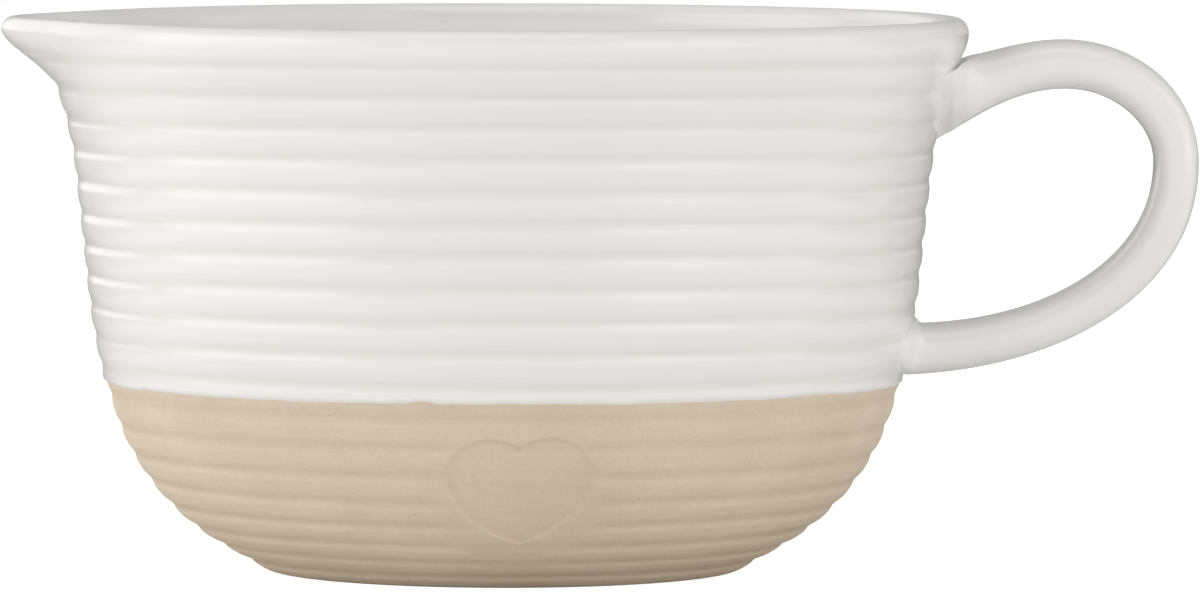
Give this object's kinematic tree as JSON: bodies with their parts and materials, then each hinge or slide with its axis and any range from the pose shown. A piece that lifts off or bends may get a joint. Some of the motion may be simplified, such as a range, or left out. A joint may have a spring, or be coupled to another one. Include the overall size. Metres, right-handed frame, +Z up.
{
  "type": "batter bowl",
  "caption": "Stoneware batter bowl with a ribbed wall, a pulled pouring spout, a looped side handle, a dipped glaze and a small heart stamped above the bare foot.",
  "frame": {"origin": "centre of the foot ring, on the table", "axes": "+Z up out of the bowl, +X from the bowl's middle to the handle, -X to the spout, -Y out of the front with the heart"},
  "size_m": [0.2581, 0.2, 0.119],
  "materials": {
    "stoneware": "matt, fine-grained, bare fired clay",
    "slip": "matt, smoothed by a finger, fired clay",
    "glaze": "glossy warm white, slightly uneven"
  },
  "bodies": {
    "root": {"bowl_body": "stoneware", "handle": "stoneware", "upper_slip_joint": "slip", "lower_slip_joint": "slip", "outer_glaze": "glaze", "inner_glaze": "glaze", "handle_glaze": "glaze"}
  },
  "joints": []
}
